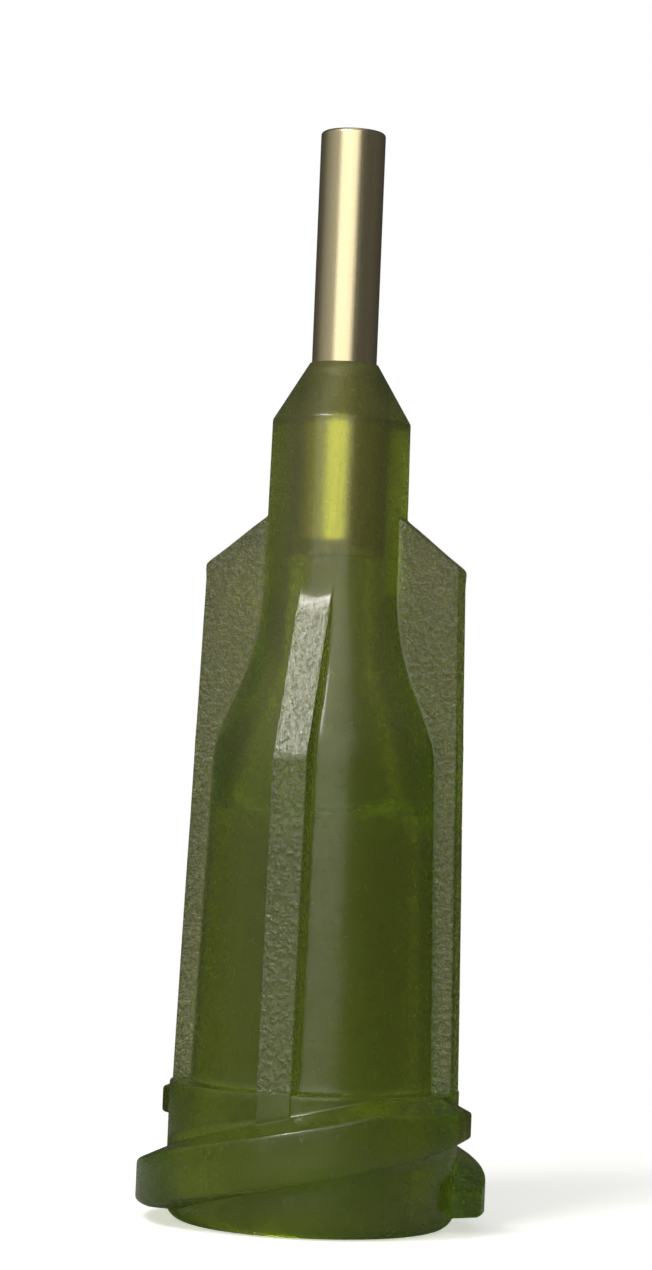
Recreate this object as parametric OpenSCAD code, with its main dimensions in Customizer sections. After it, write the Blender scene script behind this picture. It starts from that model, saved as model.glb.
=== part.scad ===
// Dispensing needle tip: a moulded hub with a taper socket and two lock lugs holds a straight steel tube.
// Millimetres, +Z up. The origin is the centre of the socket's rim, on which the tip stands.
// The two wings lie along X and the two short ribs along Y.

/* [Socket and collar] */
// Diameter of the taper socket at its mouth
socket_mouth_d = 4.3; // [4.2:0.01:4.4]
// Loss of socket diameter for each millimetre of depth
socket_taper = 0.06; // [0.05:0.001:0.07]
// Depth of the taper socket
socket_depth = 9.2; // [8:0.1:11]
// Wall round the socket, the same all the way up
socket_wall = 0.74; // [0.6:0.01:0.85]
// Small lead-in round the mouth
mouth_chamfer = 0.1; // [0.05:0.01:0.15]
// Diameter of the collar that carries the lock lugs
collar_d = 6.5; // [6.3:0.01:6.6]
// Height of the collar
collar_h = 3.1; // [2.9:0.05:3.6]
// Rounding of the rim's outer edge
rim_round = 0.45; // [0.2:0.05:0.5]
// Rounding of the collar's upper edge
collar_round = 0.05; // [0.02:0.01:0.1]

/* [Lock lugs] */
// Diameter across the crests of the two lugs
lug_d = 7.83; // [7.7:0.01:7.9]
// Rise of a lug in one whole turn, right-handed
lug_lead = 5; // [4.5:0.1:5.5]
// Width of a lug's crest along the axis
lug_crest = 1.15; // [0.8:0.05:1.3]
// Height of the crest's middle where a lug passes the rib
lug_mid_z = 1.68; // [1.5:0.01:1.8]
// Level below which the lugs' undersides are cut flat
lug_floor_z = 0.4; // [0.35:0.05:0.6]
// Slope of a lug's upper flank from the level
lug_upper_flank = 22; // [15:1:35]
// Slope of a lug's lower flank from the level
lug_lower_flank = 6; // [0:1:10]
// Angle round the axis from the rib back to a lug's low end
lug_start = 90; // [80:1:92]
// Angle round the axis from the rib on to a lug's high end
lug_end = 78; // [60:1:84]
// Rounding of the lugs' crest edges
lug_round = 0.09; // [0.03:0.01:0.15]

/* [Flare, neck and nose] */
// Height from the socket's end to the corner where the flare begins
flare_rise = 1.5; // [1.2:0.1:2]
// Slope of the flare from the axis
flare_angle = 22; // [16:1:30]
// Radius of the rounding at the foot of the flare
flare_foot_round = 2; // [1:0.1:2.5]
// Radius of the sweep from the flare into the neck
flare_top_round = 6; // [3:0.1:7]
// Diameter of the neck at its foot
neck_d = 3.22; // [2.9:0.01:3.6]
// Length of the neck from the flare to the nose
neck_length = 4.95; // [4:0.05:7]
// Draft of the neck on each side
neck_draft = 0.57; // [0:0.01:1]
// Slope of the nose cone from the axis
nose_angle = 30.8; // [25:0.1:45]
// Rounding between the neck and the nose
nose_round = 0.15; // [0.05:0.01:0.3]
// Flat ring left round the tube at the top of the nose
nose_land = 0.04; // [0.02:0.01:0.15]

/* [Passage] */
// Width of the ledge at the end of the socket
socket_ledge = 0.25; // [0.1:0.01:0.4]
// Height of the funnel that leads from the socket to the bore
funnel_h = 3.2; // [2:0.1:3.6]
// Draft of the bore from the funnel up to the tube
bore_draft = 2; // [1.5:0.1:4]
// Width of the step on which the tube's inner end rests
seat_step = 0.03; // [0.02:0.01:0.08]

/* [Wings and ribs] */
// Thickness of the wings
wing_t = 0.76; // [0.5:0.01:1]
// Distance from the foot of the nose down to where the wings leave the neck
wing_drop = 2.2; // [1:0.1:3]
// Slope of the wings' shoulders from the level
wing_slope = 38.8; // [25:0.1:50]
// Rounding of the wings' upper corners
wing_round = 0.27; // [0.1:0.01:0.5]
// Draft of the wings' outer edges
edge_draft = 1.42; // [0.5:0.01:2]
// Distance of the wings' feet in from the face of the collar
wing_inset = 0.05; // [0.05:0.01:0.2]
// Thickness of the ribs
rib_t = 0.76; // [0.5:0.01:1]
// Slope of the ribs' upper edges from the axis
rib_slope = 22.5; // [18:0.1:30]
// Distance from the top of the flare down to where the ribs leave the neck
rib_drop = 0.2; // [0:0.05:0.8]
// How far the ribs stand out from the collar
rib_proud = 0.04; // [0.02:0.01:0.08]
// Rounding of the ribs' upper corners
rib_round = 0.3; // [0.1:0.01:0.6]

/* [Needle] */
// Outer diameter of the steel tube
needle_od = 1.47; // [1.2:0.01:1.83]
// Wall of the steel tube
needle_wall = 0.2; // [0.1:0.01:0.3]
// Length of the tube that stands out of the nose
needle_reach = 5.3; // [4:0.1:40]
// Length of the tube inside the hub
needle_seat = 4.4; // [3:0.1:4.8]
// Clearance between the tube and its seat, none where the hub is moulded on to it
seat_clearance = 0; // [0:0.005:0.02]
// Rounding of the tube's outer edge at the tip
tip_round = 0.07; // [0.02:0.01:0.1]

/* [Hidden] */

$fn = 96;
ARC_STEPS = 8;        // straight pieces in each rounding
LUG_STEP = 6;         // degrees between a lug's cross-sections
CUT = 1;              // how far a cut runs past the face it opens
SINK = 0.35;          // how far the wings and ribs are sunk into the wall behind them
LUG_SINK = 0.12;      // how far a lug is sunk into the collar
LUG_GAP = 0.02;       // least drop from the collar's top to a lug's root

collar_r = collar_d / 2;
lug_r = lug_d / 2;
mouth_r = socket_mouth_d / 2;
taper_angle = atan(socket_taper / 2);
neck_r = neck_d / 2;

// Radius inside and outside the socket, and how far a wing's or rib's edge has leaned in, at a height
function socket_r(z) = mouth_r - z * socket_taper / 2;
function wall_r(z) = socket_r(z) + socket_wall;
function lean(z) = (z - collar_h) * tan(edge_draft);

// The flare runs up from a corner on the socket's wall to a corner at the foot of the neck
flare_foot_z = socket_depth + flare_rise;
flare_foot_r = wall_r(flare_foot_z);
flare_top_z = flare_foot_z + (flare_foot_r - neck_r) / tan(flare_angle);
flare_length = (flare_foot_r - neck_r) / sin(flare_angle);

// Where the flare is too short for its two roundings they shrink to share it
foot_tangent = flare_foot_round * tan((flare_angle - taper_angle) / 2);
top_tangent = flare_top_round * tan((flare_angle - neck_draft) / 2);
flare_share = min(1, 0.95 * flare_length / (foot_tangent + top_tangent));

neck_top_z = flare_top_z + neck_length;
neck_top_r = neck_r - neck_length * tan(neck_draft);
needle_r = needle_od / 2;
nose_top_r = needle_r + nose_land;
hub_top_z = neck_top_z + (neck_top_r - nose_top_r) / tan(nose_angle);

needle_foot_z = hub_top_z - needle_seat;
needle_tip_z = hub_top_z + needle_reach;
seat_r = needle_r + seat_clearance;
bore_r = needle_r - seat_step;
funnel_top_z = socket_depth + funnel_h;
bore_foot_r = bore_r + (needle_foot_z - funnel_top_z) * tan(bore_draft);

wing_top_z = neck_top_z - wing_drop;
wing_top_r = neck_r - (wing_top_z - flare_top_z) * tan(neck_draft);
wing_foot_r = collar_r - wing_inset;
wing_corner_z = (wing_top_z - (wing_foot_r + collar_h * tan(edge_draft) - wing_top_r) * tan(wing_slope))
    / (1 - tan(edge_draft) * tan(wing_slope));

rib_top_z = flare_top_z + top_tangent * flare_share - rib_drop;
rib_line = tan(rib_slope);
rib_foot_r = collar_r + rib_proud;
rib_corner_z = (rib_top_z * rib_line + neck_r - rib_foot_r - collar_h * tan(edge_draft))
    / (rib_line - tan(edge_draft));

// Height of a lug's lower crest edge at an angle from the rib, before it is cut flat
function crest_low(a) = lug_mid_z - lug_crest / 2 + lug_lead * a / 360;
lug_root_r = collar_r - LUG_SINK;
lug_reach = lug_r - lug_root_r;
lug_roof_z = collar_h - LUG_GAP - lug_reach * tan(lug_upper_flank);

function facing(a) = [cos(a), sin(a)];

// The arc that rounds a corner between two faces with outward directions a1 and a2.
// A negative radius rounds an inside corner.
function rounded(corner, a1, a2, r, steps = ARC_STEPS) =
    let (centre = corner - r * (facing(a1) + facing(a2)) / (1 + cos(a2 - a1)))
    [for (i = [0 : steps]) centre + r * facing(a1 + (a2 - a1) * i / steps)];

// Half of the hub's body: rim, collar, socket wall, flare, neck and nose
module body_outline() {
    polygon(concat(
        [[0, 0]],
        rounded([collar_r, 0], -90, 0, rim_round),
        rounded([collar_r, collar_h], 0, 90, collar_round),
        [[wall_r(collar_h), collar_h]],
        rounded([flare_foot_r, flare_foot_z], taper_angle, flare_angle, flare_foot_round * flare_share),
        rounded([neck_r, flare_top_z], flare_angle, neck_draft, -flare_top_round * flare_share),
        rounded([neck_top_r, neck_top_z], neck_draft, nose_angle, nose_round),
        [[nose_top_r, hub_top_z], [0, hub_top_z]]));
}

// Half of the passage: mouth, taper socket, ledge, funnel, bore and the tube's seat
module passage_outline() {
    polygon([
        [0, -CUT],
        [mouth_r + mouth_chamfer + CUT, -CUT],
        [socket_r(mouth_chamfer), mouth_chamfer],
        [socket_r(socket_depth), socket_depth],
        [socket_r(socket_depth) - socket_ledge, socket_depth],
        [bore_foot_r, funnel_top_z],
        [bore_r, needle_foot_z],
        [seat_r, needle_foot_z],
        [seat_r, hub_top_z + CUT],
        [0, hub_top_z + CUT]]);
}

// A flat plate through the axis, from an outline of radius and height
module plate(thickness, outline) {
    rotate([90, 0, 0])
        linear_extrude(thickness, center = true)
            polygon(concat(outline, [for (i = [len(outline) - 1 : -1 : 0]) [-outline[i][0], outline[i][1]]]));
}

module wings() {
    plate(wing_t, concat(
        [[wing_foot_r, collar_h - SINK], [wing_foot_r, collar_h]],
        rounded([wing_foot_r - lean(wing_corner_z), wing_corner_z], edge_draft, 90 - wing_slope, wing_round),
        [[wing_top_r - SINK, wing_top_z + SINK * tan(wing_slope)]]));
}

module ribs() {
    rotate([0, 0, 90])
        plate(rib_t, concat(
            [[rib_foot_r, lug_mid_z], [rib_foot_r, collar_h]],
            rounded([rib_foot_r - lean(rib_corner_z), rib_corner_z], edge_draft, rib_slope, rib_round),
            [[neck_r - SINK, rib_top_z + SINK / rib_line]]));
}

// Cross-section of a lug at an angle from the rib, as radius and height, with rounded crest edges
function lug_section(a) =
    let (low = max(crest_low(a), lug_floor_z))
    let (high = min(crest_low(a) + lug_crest, lug_roof_z))
    concat(
        [[lug_root_r, low - lug_reach * tan(lug_lower_flank)]],
        rounded([lug_r, low], -90 + lug_lower_flank, 0, lug_round, 2),
        rounded([lug_r, high], 0, 90 - lug_upper_flank, lug_round, 2),
        [[lug_root_r, high + lug_reach * tan(lug_upper_flank)]]);

// One helical lug: its cross-section swept round the collar while it rises
module lug() {
    steps = ceil((lug_start + lug_end) / LUG_STEP);
    angles = [for (i = [0 : steps]) -lug_start + (lug_start + lug_end) * i / steps];
    corners = len(lug_section(0));
    points = [for (a = angles) for (p = lug_section(a)) [p[0] * sin(a), -p[0] * cos(a), p[1]]];
    sides = [for (i = [0 : steps - 1]) for (j = [0 : corners - 1])
        let (k = (j + 1) % corners)
        let (near = i * corners)
        let (far = near + corners)
        each [[near + j, far + k, far + j], [near + j, near + k, far + k]]];
    start_face = [for (j = [corners - 1 : -1 : 0]) j];
    end_face = [for (j = [0 : corners - 1]) steps * corners + j];
    polyhedron(points, concat(sides, [start_face, end_face]));
}

module hub() {
    color("olivedrab")
        difference() {
            union() {
                rotate_extrude() body_outline();
                wings();
                ribs();
                for (turn = [0, 180]) rotate([0, 0, turn]) lug();
            }
            rotate_extrude() passage_outline();
        }
}

module needle_tube() {
    color("silver")
        rotate_extrude()
            polygon(concat(
                [[needle_r - needle_wall, needle_foot_z], [needle_r, needle_foot_z]],
                rounded([needle_r, needle_tip_z], 0, 90, tip_round),
                [[needle_r - needle_wall, needle_tip_z]]));
}

hub();
needle_tube();
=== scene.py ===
# %% [markdown]
# # A dispensing needle tip
# A moulded hub of olive polypropylene grips a short steel tube. The frame below is the part's exact solids.
# They give every place and size, and the two pieces made here stand for them with finer surfaces and finishes.

# %% Load the frame
import math
import bpy
import numpy as np
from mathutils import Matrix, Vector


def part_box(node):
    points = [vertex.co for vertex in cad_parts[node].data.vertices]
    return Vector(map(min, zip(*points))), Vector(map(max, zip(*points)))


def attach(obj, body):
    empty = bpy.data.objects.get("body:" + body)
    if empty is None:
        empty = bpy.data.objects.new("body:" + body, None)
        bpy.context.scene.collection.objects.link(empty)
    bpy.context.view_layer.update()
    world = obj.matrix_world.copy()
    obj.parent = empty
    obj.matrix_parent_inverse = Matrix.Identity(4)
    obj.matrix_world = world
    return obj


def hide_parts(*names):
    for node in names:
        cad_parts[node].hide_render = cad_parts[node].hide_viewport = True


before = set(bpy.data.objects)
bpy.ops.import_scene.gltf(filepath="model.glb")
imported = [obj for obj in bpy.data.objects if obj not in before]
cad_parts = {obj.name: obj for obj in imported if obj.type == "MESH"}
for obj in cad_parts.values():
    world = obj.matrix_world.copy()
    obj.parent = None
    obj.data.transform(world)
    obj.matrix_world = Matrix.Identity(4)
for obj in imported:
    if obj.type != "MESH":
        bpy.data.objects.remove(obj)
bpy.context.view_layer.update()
MM = 0.001
hub_low, hub_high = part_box("hub")
tube_low, tube_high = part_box("needle_tube")
print("hub from", [round(v / MM, 3) for v in hub_low], "to", [round(v / MM, 3) for v in hub_high], "mm")
print("tube from", [round(v / MM, 3) for v in tube_low], "to", [round(v / MM, 3) for v in tube_high], "mm")

# %% [markdown]
# ## Camera
# A long lens looks at the tip from a little right of its front, almost level. The camera is rolled slightly,
# so the tip leans to the right. Its place is worked out from an angle, a distance and a height.

# %% Camera
CAMERA_AZIMUTH = math.radians(15.5)
CAMERA_DISTANCE, CAMERA_HEIGHT = 79.0 * MM, 9.7 * MM
CAMERA_ROLL = math.radians(2.37)
FOCAL_OVER_HEIGHT = 3500 / 1270
LOOK_HEIGHT, LOOK_ASIDE = 13.2 * MM, -0.16 * MM


def add_camera():
    """Stands at (d sin a, -d cos a, h) and looks at a point by the axis. Rolling turns right and up by the roll."""
    right = np.array([math.cos(CAMERA_AZIMUTH), math.sin(CAMERA_AZIMUTH), 0.0])
    place = np.array([CAMERA_DISTANCE * math.sin(CAMERA_AZIMUTH), -CAMERA_DISTANCE * math.cos(CAMERA_AZIMUTH), CAMERA_HEIGHT])
    forward = right * LOOK_ASIDE + np.array([0, 0, LOOK_HEIGHT]) - place
    forward /= np.linalg.norm(forward)
    right = np.cross(forward, [0, 0, 1])
    right /= np.linalg.norm(right)
    up = np.cross(right, forward)
    c, s = math.cos(CAMERA_ROLL), math.sin(CAMERA_ROLL)
    turn = np.eye(4)
    turn[:3, 0], turn[:3, 1], turn[:3, 2], turn[:3, 3] = right * c + up * s, up * c - right * s, -forward, place
    data = bpy.data.cameras.new("camera")
    data.sensor_width, data.lens = 36.0, 36.0 * FOCAL_OVER_HEIGHT
    data.clip_start, data.clip_end = 0.001, 10.0
    camera = bpy.data.objects.new("camera", data)
    camera.matrix_world = turn.T.tolist()
    bpy.context.scene.collection.objects.link(camera)
    bpy.context.scene.camera = camera
    return camera


camera = add_camera()
print("lens", round(camera.data.lens, 1), "mm at", round(CAMERA_DISTANCE / MM), "mm from the axis")

# %% [markdown]
# ## Colours and nodes
# Colours are written as sRGB hex, as a paint program shows them, and one function turns them to the linear
# numbers that a shader works with. Another small function adds a node and wires it up in one line.


# %% Colour and node helpers
def linear(hex_colour):
    """sRGB to linear: c / 12.92 for dark values, else ((c + 0.055) / 1.055) to the power 2.4."""
    c = np.array([int(hex_colour[i : i + 2], 16) / 255 for i in (1, 3, 5)])
    return (*np.where(c <= 0.04045, c / 12.92, ((c + 0.055) / 1.055) ** 2.4).tolist(), 1.0)


def add(tree, kind, inputs=(), **settings):
    """Adds a node. A socket among the inputs is linked, and any other value is set on the input."""
    node = tree.nodes.new(kind)
    for name, value in settings.items():
        setattr(node, name, value)
    for key, value in dict(inputs).items():
        if isinstance(value, bpy.types.NodeSocket):
            tree.links.new(value, node.inputs[key])
        else:
            node.inputs[key].default_value = value
    return node


def new_material(name):
    material = bpy.data.materials.new(name)
    material.use_nodes = True
    material.node_tree.nodes.clear()
    return material, material.node_tree


# %% [markdown]
# ## Measures of the moulding
# The hub's outline is a handful of measures, in millimetres, the same ones that the solids were built from.
# Every surface below is computed from them.

# %% Measures in millimetres
RIM_R, COLLAR_R, COLLAR_TOP, RIM_ROUND = 2.15, 3.25, 3.10, 0.45
WALL, TAPER, SOCKET_END = 0.74, 0.03, 9.2
FLARE_FOOT, FLARE_TOP, FLARE_SLOPE = (2.569, 10.70), (1.61, 13.074), 22.0
NECK_TOP, NECK_DRAFT = (1.561, 18.024), 0.57
NOSE_TOP, NOSE_SLOPE = (0.775, hub_high.z / MM), 30.8
TUBE_R, TUBE_BORE_R = tube_high.x / MM, 0.535
TUBE_FOOT, TUBE_TIP = tube_low.z / MM, tube_high.z / MM
FUNNEL_TOP, LEDGE_R = 12.4, 1.624
PLATE_HALF = 0.38
LUG_R, LUG_LEAD, LUG_CREST, LUG_MID, LUG_FLOOR, LUG_ROOF = 3.915, 5.0, 1.15, 1.68, 0.40, 2.763
LUG_FROM, LUG_TO = -90.0, 78.0
LUG_ROUND, LUG_UNDER_SLOPE, LUG_OVER_SLOPE = 0.09, 6, 22
PLATE_DRAFT, WING_FOOT_R, RIB_FOOT_R = 1.42, 3.222, 3.29
WING_SHOULDER, WING_SLOPE = (1.583, 15.824), 38.8
RIB_TOP, RIB_SLOPE = (1.61, 14.009), 22.5
print("socket wall", WALL, "mm, taper", 200 * TAPER, "%, tube", round(2 * TUBE_R, 2), "mm")


def corner_arc(corner, a1, a2, radius, steps):
    """Rounds a corner between faces that point to angles a1 and a2: centre + r (cos a, sin a), a from a1 to a2."""
    a = np.radians(np.linspace(a1, a2, steps + 1))
    face = np.array([np.cos(a[[0, -1]]), np.sin(a[[0, -1]])]).sum(1)
    centre = np.array(corner) - radius * face / (1 + math.cos(a[-1] - a[0]))
    return centre + radius * np.stack([np.cos(a), np.sin(a)], 1)


def wall_r(z):
    return RIM_R - TAPER * z + WALL


# %% [markdown]
# ## The hub's outer skin
# On the real hub everything is one moulding: a thin wall with a rim, a collar, two broad wings, two ribs and
# two helical lugs. Joining separate solids leaves hard seams, so here the whole skin is one grid. A column
# is a direction round the axis, and a row is a level. Each point's distance from the axis is the larger of the
# body's and the plate's, blended over a small width, which is what gives a moulding its filleted roots.


# %% Blending and the body's outline
def smooth_max(a, b, width):
    """(a + b + sqrt((a - b)^2 + w^2)) / 2 - w / 2 * e^-((a - b) / 4w)^2: the larger of two, with a rounded
    change-over. The last factor takes the w / 2 off only near the change-over."""
    return (a + b + np.sqrt((a - b) ** 2 + width**2)) / 2 - width / 2 * np.exp(-(((a - b) / (4 * width)) ** 2))


def smooth_min(a, b, width):
    return -smooth_max(-a, -b, width)


body_curve = np.concatenate([
    [[wall_r(COLLAR_TOP), COLLAR_TOP]],
    corner_arc(FLARE_FOOT, 1.72, FLARE_SLOPE, 2.0, 12),
    corner_arc(FLARE_TOP, FLARE_SLOPE, NECK_DRAFT, -6.0, 24),
    corner_arc(NECK_TOP, NECK_DRAFT, NOSE_SLOPE, 0.15, 6),
    [NOSE_TOP],
])


def body_r(z):
    """Distance of the wall, flare, neck and nose from the axis at a level, read off the outline."""
    return np.interp(z, body_curve[:, 1], body_curve[:, 0])


def plate_edge(z, foot, slope, corner_width):
    """Where a plate's edge stands at a level: the smaller of the drafted edge and the sloping shoulder."""
    upright = foot - (z - COLLAR_TOP) * math.tan(math.radians(PLATE_DRAFT))
    return smooth_min(upright, slope, corner_width)


def wing_edge(z):
    shoulder = WING_SHOULDER[0] + (WING_SHOULDER[1] - z) / math.tan(math.radians(WING_SLOPE))
    return np.maximum(plate_edge(z, WING_FOOT_R, shoulder, 0.07), 0.3)


def rib_edge(z):
    slope = RIB_TOP[0] + (RIB_TOP[1] - z) * math.tan(math.radians(RIB_SLOPE))
    return np.maximum(plate_edge(z, RIB_FOOT_R, slope, 0.05), 0.3)


# %% [markdown]
# ## Columns round the hub
# The columns crowd together where a plate's corner or root is, because that is where the skin turns sharply,
# and they slide with the level so that they always stay on that corner. Between the plates they are even.


# %% Columns
EDGE_N, CORNER_N, SIDE_N, ROOT_N, ARC_N = 4, 4, 6, 5, 26


def half_plate_angles(edge, body):
    """Angles from a plate's middle out to past its root, for each level: the corner lies at asin(t / edge)
    and the root at asin(t / body). Between them the nodes are even in distance from the axis."""
    edge = np.maximum(edge, body * 1.22)
    corner = np.arcsin(PLATE_HALF / edge)[:, None]
    root = np.arcsin(np.minimum(PLATE_HALF / body, 0.9))[:, None]
    gap = np.minimum(0.10 * corner, 0.3 * (root - corner))
    face = np.linspace(0, 1, EDGE_N, endpoint=False) * (corner - gap)
    bend = corner + gap * np.linspace(-1, 1, CORNER_N, endpoint=False)
    first = PLATE_HALF / np.sin(corner + gap)
    last = PLATE_HALF / np.sin(root - gap)
    side = np.arcsin(PLATE_HALF / (first + (last - first) * np.linspace(0, 1, SIDE_N, endpoint=False)))
    foot = root + gap * np.linspace(-1, 2.2, ROOT_N, endpoint=False)
    return np.concatenate([face, bend, side, foot], 1), root + 2.2 * gap


def columns(z):
    """All angles round the axis for each level, from the wing along X, anticlockwise."""
    body = body_r(np.maximum(z, COLLAR_TOP))
    wing, wing_end = half_plate_angles(wing_edge(z), body)
    rib, rib_end = half_plate_angles(rib_edge(z), body)
    start, stop = wing_end, math.pi / 2 - rib_end
    arc = start + (stop - start) * np.linspace(0, 1, ARC_N, endpoint=False)
    tail = np.flip(math.pi / 2 - np.concatenate([rib, rib_end], 1), 1)[:, :-1]
    quarter = np.concatenate([wing, arc, tail], 1)
    mirrored = np.flip(math.pi - np.concatenate([quarter[:, 1:], np.full((len(z), 1), math.pi / 2)], 1), 1)
    half = np.concatenate([quarter, mirrored], 1)
    return np.concatenate([half, half + math.pi], 1)


# %% Plates as distance from the axis
def plates(angle, z):
    """Distance to the wings' and ribs' skin: edge / cos a on the edge face and t / sin a on the sides."""
    out = []
    for edge, turn in ((wing_edge(z), 0.0), (rib_edge(z), math.pi / 2)):
        c = np.abs(np.cos(angle - turn))
        s = np.abs(np.sin(angle - turn))
        out.append(smooth_min(edge / np.maximum(c, 0.05), PLATE_HALF / np.maximum(s, 0.02), 0.02))
    return out[0], out[1]


# %% [markdown]
# ## The lock lugs
# The lugs are two helical ridges that climb 5 mm in a turn, as the barrel's lock collar demands. Rows that stay
# level would cut a helix into steps, so in the collar the rows climb with the lug: each row keeps its
# place in the lug's cross-section. At a lug's ends two columns share one direction and make its flat end.


# %% Lug cross-section
def lug_levels(turned):
    """Crest's lower and upper edge for an angle from the lug's middle: mid - w / 2 + lead * a / 360, then cut flat."""
    low = LUG_MID - LUG_CREST / 2 + LUG_LEAD * turned / 360
    return np.maximum(low, LUG_FLOOR), np.minimum(low + LUG_CREST, LUG_ROOF)


def lug_profile(turned):
    """Cross-section of a lug as rows of (distance, level): flank, rounded edge, crest, rounded edge, flank."""
    low, high = lug_levels(turned)
    reach = LUG_R - COLLAR_R
    under, over = math.radians(LUG_UNDER_SLOPE), math.radians(LUG_OVER_SLOPE)
    a = np.linspace(-math.pi / 2 + under, 0, 5)
    b = np.linspace(0, math.pi / 2 - over, 8)
    centre1 = (LUG_R - LUG_ROUND, low + LUG_ROUND * math.cos(under) / (1 + math.sin(under)))
    centre2 = (LUG_R - LUG_ROUND, high - LUG_ROUND * math.cos(over) / (1 + math.sin(over)))
    shape = low.shape
    rows_r, rows_z = [], []
    for t in (0.0, 0.06, 0.5):
        rows_r.append(np.full(shape, COLLAR_R + 0.02 * (t > 0) + t * reach))
        rows_z.append(low - (reach - t * reach) * math.tan(under))
    for k in a:
        rows_r.append(np.full(shape, centre1[0] + LUG_ROUND * math.cos(k)))
        rows_z.append(centre1[1] + LUG_ROUND * math.sin(k))
    for t in (0.3, 0.7):
        rows_r.append(np.full(shape, LUG_R))
        rows_z.append(centre1[1] + (centre2[1] - centre1[1]) * t)
    for k in b:
        rows_r.append(np.full(shape, centre2[0] + LUG_ROUND * math.cos(k)))
        rows_z.append(centre2[1] + LUG_ROUND * math.sin(k))
    for t in (0.45, 0.25, 0.06, 0.0):
        rows_r.append(np.full(shape, COLLAR_R + t * reach + 0.01 * (t > 0)))
        rows_z.append(high + (reach - t * reach) * math.tan(over))
    return np.array(rows_r), np.array(rows_z)


# %% Collar zone
def rim_r(z):
    """R - q + sqrt(q^2 - (q - z)^2) in the rim's rounding of radius q, and the collar's radius R above it."""
    rounding = COLLAR_R - RIM_ROUND + np.sqrt(np.maximum(RIM_ROUND**2 - (RIM_ROUND - z) ** 2, 0))
    return np.where(z < RIM_ROUND, rounding, COLLAR_R)


def collar_zone(angle):
    """Rows from just above the rim's rounding to the collar's edge, climbing with the lug. The two ends of a
    lug are drawn where its angle leaves the range: there the rows fall back to the collar."""
    turned = (np.degrees(angle) + 180) % 180 - 90
    inside = turned <= LUG_TO
    back = np.clip((turned - LUG_TO) / (90 - LUG_TO), 0, 1)
    smooth = back * back * (3 - 2 * back)
    held = np.where(inside, turned, LUG_TO + (LUG_FROM - LUG_TO) * smooth)
    r, z = lug_profile(held)
    r = np.where(inside, r, COLLAR_R)
    base_z = 0.29 + np.outer(np.linspace(0, 1, 5)[:-1], z[0] - 0.29)
    base_r = rim_r(base_z)
    top_z = z[-1] + np.outer(np.linspace(0, 1, 6)[1:], COLLAR_TOP - 0.05 - z[-1])
    r[0] = np.minimum(r[0], rim_r(z[0]))
    r = np.where(inside, r, rim_r(z))
    return np.concatenate([base_r, r, np.full(top_z.shape, COLLAR_R)]), np.concatenate([base_z, z, top_z])


# %% [markdown]
# ## Putting the hub together
# Rows run from the mouth out over the rim, up the outside to the nose, then down the passage and back to the
# mouth, so the grid closes on itself in both directions and the hub is one watertight skin.


# %% Hub grid
def ends_of_lugs(angle):
    """Places two columns at each lug end: the nearest columns are moved onto the end's own angle."""
    out = angle.copy()
    for end in (LUG_FROM, LUG_TO, LUG_FROM + 180, LUG_TO + 180):
        target = math.radians((end - 90) % 360)
        gap = np.abs((out - target + math.pi) % (2 * math.pi) - math.pi)
        near = np.argsort(gap)[:2]
        first, second = (near[0], near[1]) if out[near[0]] < out[near[1]] else (near[1], near[0])
        if abs(out[first] - out[second]) > math.pi:
            first, second = second, first
        out[first], out[second] = target - 1e-4, target + 1e-4
    return out


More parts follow.
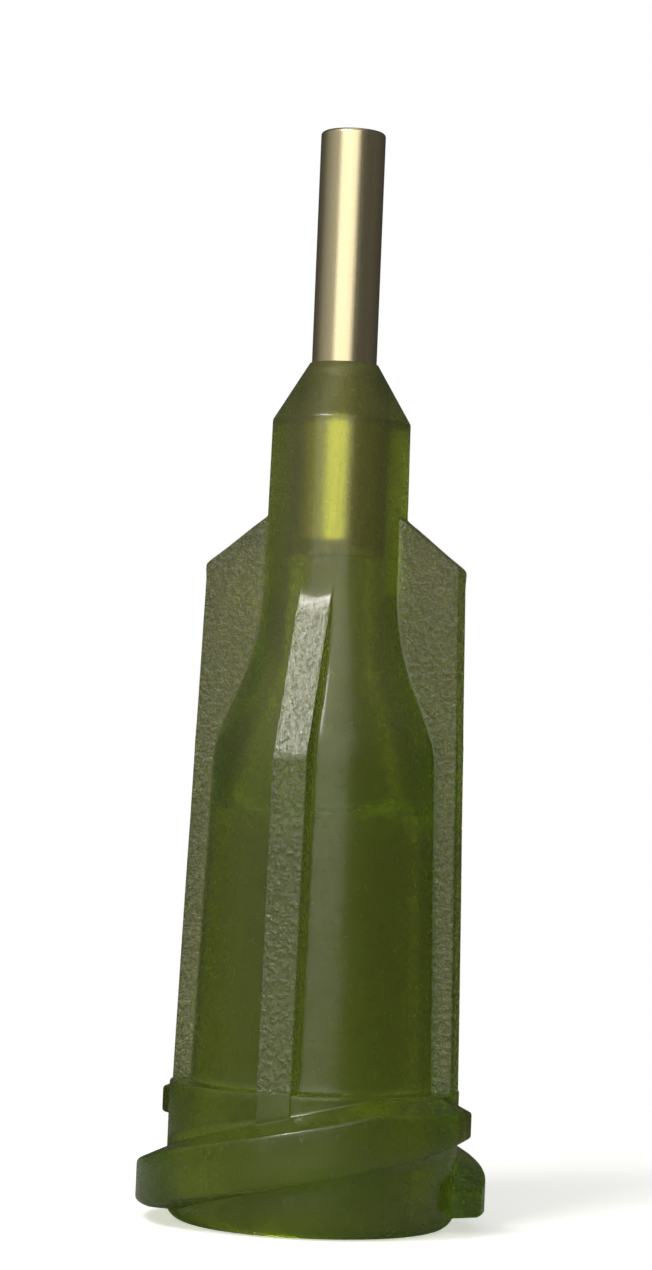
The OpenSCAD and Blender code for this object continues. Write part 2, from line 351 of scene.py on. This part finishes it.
def hub_rows():
    """Every row as (angles, distances, levels)."""
    rows = []
    lower = columns(np.array([COLLAR_TOP]))[0]
    even = ends_of_lugs(lower)

    def ring(angle, r, z):
        rows.append((angle, np.broadcast_to(r, angle.shape), np.broadcast_to(z, angle.shape)))

    for r in np.linspace(RIM_R + 0.1, COLLAR_R - RIM_ROUND, 5):
        ring(even, r, 0.0)
    for a in np.linspace(0, math.acos(1 - 0.29 / RIM_ROUND), 8)[1:-1]:
        ring(even, COLLAR_R - RIM_ROUND + RIM_ROUND * math.sin(a), RIM_ROUND * (1 - math.cos(a)))
    zone_r, zone_z = collar_zone(even)
    for r, z in zip(zone_r, zone_z):
        wing, rib = plates(even, z)
        rib = np.where(z > LUG_MID, rib, 0)
        ring(even, np.where(rib > r, smooth_max(r, rib, 0.01), r), z)
    for a in np.linspace(0, math.pi / 2, 5)[1:]:
        z = COLLAR_TOP - 0.05 + 0.05 * math.sin(a)
        wing, rib = plates(even, np.full(even.shape, z))
        ring(even, smooth_max(COLLAR_R - 0.05 + 0.05 * math.cos(a), np.maximum(rib, wing), 0.01), z)
    inner, quarter = wall_r(COLLAR_TOP) + 0.1, np.linspace(0, 1, 6)[1:] * math.pi / 2
    ledge = np.concatenate([np.linspace(COLLAR_R - 0.07, inner, 5), inner - 0.1 * np.sin(quarter)])
    rise = np.concatenate([0.003 * np.arange(5), 0.012 + 0.1 * (1 - np.cos(quarter))])
    for r, dz in zip(ledge, rise):
        z = np.full(even.shape, COLLAR_TOP + 0.003 + dz)
        wing, rib = plates(even, z)
        ring(even, smooth_max(r, np.maximum(wing, rib), 0.03), z)
    levels = np.concatenate([
        np.linspace(3.3, 9.6, 16), np.linspace(9.8, 11.2, 29), np.linspace(11.26, 14.2, 46),
        np.linspace(14.25, 16.1, 46), np.linspace(16.2, 17.9, 10),
        corner_arc(NECK_TOP, NECK_DRAFT, NOSE_SLOPE, 0.15, 6)[:, 1], np.linspace(18.1, NOSE_TOP[1], 7),
    ])
    levels = np.unique(np.round(levels, 5))
    angles = columns(levels)
    blend_in = np.clip((levels - COLLAR_TOP) / 1.0, 0, 1)[:, None]
    angles = lower * (1 - blend_in) + angles * blend_in
    for z, angle in zip(levels, angles):
        wing, rib = plates(angle, np.full(angle.shape, z))
        body = float(body_r(z))
        ring(angle, smooth_max(smooth_max(body, wing, 0.05), rib, 0.05), z)
    top = angles[-1]
    seat = TUBE_R - 0.006
    plan = [(seat + 0.01, NOSE_TOP[1])] + [(seat, z) for z in np.linspace(NOSE_TOP[1] - 0.01, TUBE_FOOT, 8)]
    plan += [(0.705, TUBE_FOOT - 0.002)] + [(0.705 + (TUBE_FOOT - z) * 0.035, z) for z in np.linspace(TUBE_FOOT - 0.05, FUNNEL_TOP, 5)]
    plan += [(0.794 + (LEDGE_R - 0.794) * t, FUNNEL_TOP + (SOCKET_END - FUNNEL_TOP) * t) for t in np.linspace(0, 1, 9)[1:]]
    plan += [(LEDGE_R + 0.03, SOCKET_END + 0.001), (RIM_R - TAPER * SOCKET_END - 0.03, SOCKET_END)]
    plan += [(RIM_R - TAPER * z, z) for z in np.linspace(SOCKET_END - 0.03, 0.1, 16)]
    for k, (r, z) in enumerate(plan):
        t = k / (len(plan) - 1)
        ring(top * (1 - t) + even * t, r, z)
    return rows


def grid_mesh(name, points):
    """One quad for each cell of a grid that closes on itself both ways: corners (i, j), (i, j+1), (i+1, j+1), (i+1, j)."""
    n, m = points.shape[:2]
    i, j = np.meshgrid(np.arange(n), np.arange(m), indexing="ij")
    i2, j2 = (i + 1) % n, (j + 1) % m
    quads = np.stack([i * m + j, i * m + j2, i2 * m + j2, i2 * m + j], -1).reshape(-1, 4)
    mesh = bpy.data.meshes.new(name)
    mesh.vertices.add(n * m)
    mesh.vertices.foreach_set("co", points.reshape(-1).astype(np.float32))
    mesh.loops.add(quads.size)
    mesh.loops.foreach_set("vertex_index", quads.reshape(-1).astype(np.int32))
    mesh.polygons.add(len(quads))
    mesh.polygons.foreach_set("loop_start", np.arange(0, quads.size, 4, dtype=np.int32))
    mesh.polygons.foreach_set("use_smooth", np.ones(len(quads), bool))
    mesh.update(calc_edges=True)
    mesh.validate()
    piece = bpy.data.objects.new(name, mesh)
    bpy.context.scene.collection.objects.link(piece)
    return piece


rows = hub_rows()
angle = np.array([r[0] for r in rows])
radius = np.array([r[1] for r in rows])
level = np.array([r[2] for r in rows])
hub_points = np.stack([radius * np.cos(angle), radius * np.sin(angle), level], -1) * MM
hub = grid_mesh("moulded_hub", hub_points)
print("hub grid", hub_points.shape[:2], "quads", len(hub.data.polygons))

# %% Where the moulding is grained
RIB_CORNER = 10.3
PASSAGE_ROWS, NOSE_FACE_ROWS = 41, 2


def grain_share():
    """1 on the wings' broad sides, 0.25 on their edges, 0.6 on the ribs and 0.15 on the ribs' slopes, 0 on the
    round wall, all by how far a point stands clear of the wall."""
    z = np.maximum(level, COLLAR_TOP)
    clear = np.clip((radius - body_r(z) - 0.03) / 0.12, 0, 1) * (level > COLLAR_TOP + 0.02) * (level < NECK_TOP[1])
    along_x = np.abs(np.cos(angle)) * radius > np.abs(np.sin(angle)) * radius
    side = np.clip((np.abs(np.sin(angle)) * radius - 0.30) / 0.06, 0, 1)
    outside = np.zeros_like(level)
    outside[: len(rows) - PASSAGE_ROWS - NOSE_FACE_ROWS - 1] = 1
    ribs = np.where(level > RIB_CORNER, 0.15, 0.6)
    return (clear * np.where(along_x, 0.25 + 0.75 * side, ribs) * outside).astype(np.float32)


def passage_share():
    """1 in the passage and on the nose's last rows, 0 outside: the core pin that forms it is turned, not polished, and leaves it dull."""
    inside = np.zeros_like(level)
    inside[len(rows) - PASSAGE_ROWS - NOSE_FACE_ROWS :] = 1
    return inside.astype(np.float32)


for name, share in (("grain", grain_share()), ("passage", passage_share())):
    hub.data.attributes.new(name, "FLOAT", "POINT").data.foreach_set("value", share.reshape(-1))
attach(hub, "root")
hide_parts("hub")

# %% [markdown]
# ## The tube
# Drawn tube is cut and its outer edge broken, so it ends in a small rounding that catches the light. It is a
# closed profile turned round the axis. It stands a few microns into the moulding, as a tube moulded in does.


# %% Tube
def tube_points():
    """Profile (distance, level) carried round the axis: outside, rounded tip, end face, bore, foot."""
    tip = corner_arc((TUBE_R, TUBE_TIP), 0, 90, 0.09, 8)
    mouth = corner_arc((TUBE_BORE_R, TUBE_TIP), 90, 180, 0.03, 4)
    mouth[:, 0] = 2 * TUBE_BORE_R - corner_arc((TUBE_BORE_R, TUBE_TIP), 0, 90, 0.03, 4)[::-1, 0]
    mouth[:, 1] = corner_arc((TUBE_BORE_R, TUBE_TIP), 0, 90, 0.03, 4)[::-1, 1]
    outside = [[TUBE_R, z] for z in np.linspace(TUBE_FOOT + 0.01, TUBE_TIP - 0.12, 24)]
    bore = [[TUBE_BORE_R, z] for z in np.linspace(TUBE_TIP - 0.05, TUBE_FOOT + 0.01, 16)]
    profile = np.concatenate([[[TUBE_R - 0.01, TUBE_FOOT]], outside, tip, mouth, bore, [[TUBE_BORE_R + 0.01, TUBE_FOOT]]])
    a = np.linspace(0, 2 * math.pi, 128, endpoint=False)
    r, z = profile[:, :1], profile[:, 1:]
    return np.stack([r * np.cos(a), r * np.sin(a), z + 0 * a], -1) * MM


tube = grid_mesh("steel_tube", tube_points())
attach(tube, "root")
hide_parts("needle_tube")
print("tube quads", len(tube.data.polygons))

# %% [markdown]
# ## Moulded polypropylene
# Polypropylene is a waxy, slightly hazy plastic. Light goes in, loses its blue to the olive dye along the way and
# comes out green, so most of the colour belongs in the volume. On the lower body a darker, deeper green is also
# painted on the surface as painted shade. The polished mould leaves the round wall smooth, and the spark-eroded
# mould leaves the wings and ribs with a sandy grain about 0.1 mm wide.


# %% Polypropylene
def moulded_polypropylene():
    material, tree = new_material("moulded_polypropylene")
    where = add(tree, "ShaderNodeTexCoord").outputs["Object"]
    share = add(tree, "ShaderNodeAttribute", attribute_name="grain").outputs["Fac"]
    sand = add(tree, "ShaderNodeTexNoise", {"Vector": where, "Scale": 1 / (0.13 * MM), "Detail": 3.0, "Roughness": 0.55})
    flow = add(tree, "ShaderNodeTexNoise", {"Vector": where, "Scale": 1 / (1.6 * MM), "Detail": 2.0})
    fine = add(tree, "ShaderNodeTexNoise", {"Vector": where, "Scale": 1 / (0.05 * MM), "Detail": 2.0})
    bump_strength = add(tree, "ShaderNodeMapRange", {"Value": share, "To Min": 0.02, "To Max": 1.0})
    coarse = add(tree, "ShaderNodeBump", {"Height": sand.outputs["Fac"], "Strength": bump_strength.outputs[0], "Distance": 0.2 * MM})
    skin = add(tree, "ShaderNodeBump", {"Height": fine.outputs["Fac"], "Strength": 0.25, "Distance": 0.004 * MM, "Normal": coarse.outputs[0]})
    waves = add(tree, "ShaderNodeBump", {"Height": flow.outputs["Fac"], "Strength": 0.5, "Distance": 0.06 * MM, "Normal": skin.outputs[0]})
    rough = add(tree, "ShaderNodeMapRange", {"Value": share, "To Min": 0.24, "To Max": 0.28})
    mottled = add(tree, "ShaderNodeMapRange", {"Value": sand.outputs["Fac"], "From Min": 0.3, "From Max": 0.7, "To Min": -0.05, "To Max": 0.05})
    turned = add(tree, "ShaderNodeAttribute", attribute_name="passage").outputs["Fac"]
    dull = add(tree, "ShaderNodeMath", {0: turned, 1: 0.13, 2: rough.outputs[0]}, operation="MULTIPLY_ADD")
    rough_sum = add(tree, "ShaderNodeMath", {0: dull.outputs[0], 1: mottled.outputs[0]}, operation="ADD")
    clear = add(tree, "ShaderNodeMix", {"Factor": flow.outputs["Fac"], "A": linear("#eaec9c"), "B": linear("#dfe48c")}, data_type="RGBA")
    # Painted shade: below 13 mm the base colour turns a deeper, darker green, fully so from 9.5 mm down, so the hub is
    # painted darker towards the bottom.
    height = add(tree, "ShaderNodeSeparateXYZ", {0: where}).outputs["Z"]
    painted_shade_share = add(tree, "ShaderNodeMapRange", {"Value": height, "From Min": 9.5 * MM, "From Max": 13.0 * MM, "To Min": 1.0, "To Max": 0.0}, interpolation_type="SMOOTHSTEP")
    deep = add(tree, "ShaderNodeMix", {"Factor": painted_shade_share.outputs[0], "A": clear.outputs["Result"], "B": linear("#c3cf62")}, data_type="RGBA")
    tint = add(tree, "ShaderNodeMix", {"Factor": share, "A": deep.outputs["Result"], "B": linear("#f6f4d8")}, data_type="RGBA")
    skin_shader = add(tree, "ShaderNodeBsdfPrincipled", {
        "Base Color": tint.outputs["Result"], "Roughness": rough_sum.outputs[0], "IOR": 1.49, "Specular IOR Level": 0.35,
        "Transmission Weight": 0.95, "Normal": waves.outputs[0]})
    dye = add(tree, "ShaderNodeVolumeAbsorption", {"Color": (0.85, 0.92, 0.15, 1.0), "Density": 1.0 / MM})
    out = add(tree, "ShaderNodeOutputMaterial")
    tree.links.new(skin_shader.outputs[0], out.inputs["Surface"])
    tree.links.new(dye.outputs[0], out.inputs["Volume"])
    return material


hub.data.materials.append(moulded_polypropylene())


# %% [markdown]
# ## Drawn stainless steel
# Drawing a tube through a die leaves fine lines along it, and a satin gloss. The lines are a noise squeezed round the
# tube and stretched along it. Real ones are a few microns wide, so these are drawn coarser, to show.


# %% Stainless steel
def drawn_stainless_steel():
    material, tree = new_material("drawn_stainless_steel")
    where = add(tree, "ShaderNodeTexCoord").outputs["Object"]
    squeezed = add(tree, "ShaderNodeMapping", {"Vector": where, "Scale": (1 / (0.04 * MM), 1 / (0.04 * MM), 1 / (2.5 * MM))})
    lines = add(tree, "ShaderNodeTexNoise", {"Vector": squeezed.outputs[0], "Scale": 1.0, "Detail": 3.0, "Roughness": 0.6})
    pits = add(tree, "ShaderNodeTexNoise", {"Vector": where, "Scale": 1 / (0.06 * MM), "Detail": 2.0})
    rough = add(tree, "ShaderNodeMapRange", {"Value": lines.outputs["Fac"], "From Min": 0.3, "From Max": 0.7, "To Min": 0.26, "To Max": 0.32})
    bump = add(tree, "ShaderNodeBump", {"Height": lines.outputs["Fac"], "Strength": 0.15, "Distance": 0.004 * MM})
    grit = add(tree, "ShaderNodeBump", {"Height": pits.outputs["Fac"], "Strength": 0.2, "Distance": 0.004 * MM, "Normal": bump.outputs[0]})
    tone = add(tree, "ShaderNodeMix", {"Factor": pits.outputs["Fac"], "A": linear("#d2c8a4"), "B": linear("#c8bd9a")}, data_type="RGBA")
    steel = add(tree, "ShaderNodeBsdfPrincipled", {
        "Base Color": tone.outputs["Result"], "Metallic": 1.0, "Roughness": rough.outputs[0], "Normal": grit.outputs[0]})
    tree.links.new(steel.outputs[0], add(tree, "ShaderNodeOutputMaterial").inputs["Surface"])
    return material


tube.data.materials.append(drawn_stainless_steel())

# %% [markdown]
# ## Studio
# Clear and shiny things show the room, so the room is designed: a large soft lamp in front, a grey wall on the left
# and darker ones behind and on the right, which make the plastic's colour deep, over a pale floor.
# The walls are seen only in reflections and through the plastic, and the white sky stays behind them.


# %% Studio walls
def wall_light(azimuth):
    """Brightness of the studio wall by direction from the camera's side: left 0.6, right 0.1, behind 0.07."""
    known = np.array([-180, -150, -115, -95, -60, -40, 20, 45, 90, 150, 180])
    value = np.array([0.07, 0.07, 0.12, 0.34, 0.58, 0.36, 0.12, 0.10, 0.12, 0.06, 0.07])
    return np.interp(azimuth, known, value)


def studio_walls():
    """A drum round the object, leaning in towards the top: distance and height follow a quarter ellipse."""
    azimuth = np.linspace(-180, 180, 97)[:-1]
    rise = np.radians(np.linspace(-2, 72, 20))
    a = np.radians(azimuth) + CAMERA_AZIMUTH
    r = 0.5 * np.cos(rise)[:, None]
    z = (0.5 * np.sin(rise) + 0.012)[:, None]
    points = np.stack([r * np.sin(a), -r * np.cos(a), z + 0 * a], -1)
    n, m = points.shape[:2]
    i, j = np.meshgrid(np.arange(n - 1), np.arange(m), indexing="ij")
    quads = np.stack([i * m + j, i * m + (j + 1) % m, (i + 1) * m + (j + 1) % m, (i + 1) * m + j], -1).reshape(-1, 4)
    mesh = bpy.data.meshes.new("studio_walls")
    mesh.from_pydata(points.reshape(-1, 3).tolist(), [], quads.tolist())
    light = mesh.attributes.new("light", "FLOAT", "POINT")
    light.data.foreach_set("value", np.broadcast_to(wall_light(azimuth), (n, m)).reshape(-1).astype(np.float32))
    walls = bpy.data.objects.new("studio_walls", mesh)
    bpy.context.scene.collection.objects.link(walls)
    material, tree = new_material("grey_studio_card")
    value = add(tree, "ShaderNodeAttribute", attribute_name="light").outputs["Fac"]
    glow = add(tree, "ShaderNodeEmission", {"Color": (1.0, 0.97, 0.90, 1.0), "Strength": value})
    tree.links.new(glow.outputs[0], add(tree, "ShaderNodeOutputMaterial").inputs["Surface"])
    mesh.materials.append(material)
    walls.visible_camera = walls.visible_diffuse = walls.visible_shadow = walls.visible_volume_scatter = False
    return walls


walls = studio_walls()


# %% Floor
def pale_floor():
    """A sheet at level 0. Near the object it is pale paint, and a little light is added for the eye. Outwards
    the paint gives way to that light, so the floor meets the white background and still keeps the shadow."""
    a = np.linspace(0, 2 * math.pi, 64, endpoint=False)
    r = np.array([0.002, 0.01, 0.03, 0.1, 0.45, 3.0])[:, None]
    ring = np.stack([r * np.cos(a), r * np.sin(a), 0 * r * a - 0.00001], -1)
    mesh = bpy.data.meshes.new("floor")
    n, m = ring.shape[:2]
    i, j = np.meshgrid(np.arange(n - 1), np.arange(m), indexing="ij")
    quads = np.stack([i * m + j, (i + 1) * m + j, (i + 1) * m + (j + 1) % m, i * m + (j + 1) % m], -1).reshape(-1, 4)
    mesh.from_pydata(ring.reshape(-1, 3).tolist(), [], [*quads.tolist(), list(range(m))])
    floor = bpy.data.objects.new("floor", mesh)
    bpy.context.scene.collection.objects.link(floor)
    material, tree = new_material("pale_card")
    seen = add(tree, "ShaderNodeLightPath")
    paint = add(tree, "ShaderNodeBsdfDiffuse", {"Color": linear("#e8e8e4")})
    glow = add(tree, "ShaderNodeEmission", {"Color": (1, 1, 1, 1), "Strength": 0.5})
    lit = add(tree, "ShaderNodeAddShader", {0: paint.outputs[0], 1: glow.outputs[0]})
    white = add(tree, "ShaderNodeEmission", {"Color": (1, 1, 1, 1), "Strength": 1.0})
    away = add(tree, "ShaderNodeVectorMath", {0: add(tree, "ShaderNodeTexCoord").outputs["Object"]}, operation="LENGTH")
    fade = add(tree, "ShaderNodeMapRange", {"Value": away.outputs["Value"], "From Min": 0.008, "From Max": 0.035}, interpolation_type="SMOOTHSTEP")
    eye = add(tree, "ShaderNodeMixShader", {0: fade.outputs[0], 1: lit.outputs[0], 2: white.outputs[0]})
    # Painted shade: reflections, refractions and bounced light see a darker, shaded copy of the floor, mid grey near
    # the object and dark grey further out, while the eye sees the pale paint.
    near = add(tree, "ShaderNodeBsdfDiffuse", {"Color": linear("#a4a49e")})
    grey = add(tree, "ShaderNodeBsdfDiffuse", {"Color": linear("#484844")})
    shaded_copy_of_floor = add(tree, "ShaderNodeMixShader", {0: fade.outputs[0], 1: near.outputs[0], 2: grey.outputs[0]})
    pick = add(tree, "ShaderNodeMixShader", {0: seen.outputs["Is Camera Ray"], 1: shaded_copy_of_floor.outputs[0], 2: eye.outputs[0]})
    tree.links.new(pick.outputs[0], add(tree, "ShaderNodeOutputMaterial").inputs["Surface"])
    mesh.materials.append(material)
    return floor


floor = pale_floor()


# %% Sky
def white_sky():
    """White where the eye, a reflection or a refraction looks, and a plain grey light on the surfaces."""
    world = bpy.data.worlds.new("white_sky")
    world.use_nodes = True
    tree = world.node_tree
    tree.nodes.clear()
    seen = add(tree, "ShaderNodeLightPath")
    one = add(tree, "ShaderNodeMath", {0: seen.outputs["Is Camera Ray"], 1: seen.outputs["Is Glossy Ray"]}, operation="MAXIMUM")
    two = add(tree, "ShaderNodeMath", {0: one.outputs[0], 1: seen.outputs["Is Transmission Ray"]}, operation="MAXIMUM")
    light = add(tree, "ShaderNodeBackground", {"Color": (1, 1, 1, 1), "Strength": 0.28})
    white = add(tree, "ShaderNodeBackground", {"Color": (1, 1, 1, 1), "Strength": 1.0})
    pick = add(tree, "ShaderNodeMixShader", {0: two.outputs[0], 1: light.outputs[0], 2: white.outputs[0]})
    tree.links.new(pick.outputs[0], add(tree, "ShaderNodeOutputWorld").inputs["Surface"])
    bpy.context.scene.world = world


white_sky()


# %% Soft lamp
def soft_lamp(name, azimuth, elevation, distance, size, radiance, colour=(1.0, 0.97, 0.91)):
    """A rectangle of light facing the object. Watts for a wanted brightness: pi * area * radiance."""
    a, e = math.radians(azimuth) + CAMERA_AZIMUTH, math.radians(elevation)
    back = np.array([math.sin(a) * math.cos(e), -math.cos(a) * math.cos(e), math.sin(e)])
    place = np.array([0, 0, 0.012]) + back * distance
    x = np.cross([0, 0, 1], back)
    x /= np.linalg.norm(x)
    turn = np.eye(4)
    turn[:3, 0], turn[:3, 1], turn[:3, 2], turn[:3, 3] = x, np.cross(back, x), back, place
    data = bpy.data.lights.new(name, "AREA")
    data.shape, data.size, data.size_y = "RECTANGLE", *size
    data.energy, data.color = math.pi * size[0] * size[1] * radiance, colour
    lamp = bpy.data.objects.new(name, data)
    lamp.matrix_world = turn.T.tolist()
    bpy.context.scene.collection.objects.link(lamp)
    return lamp


key = soft_lamp("key_softbox", -10, 22, 0.25, (0.30, 0.28), 1.85)
spark = soft_lamp("small_bright_lamp", -33, 46, 0.22, (0.055, 0.055), 26.0)
bpy.context.scene.view_settings.view_transform = "Standard"
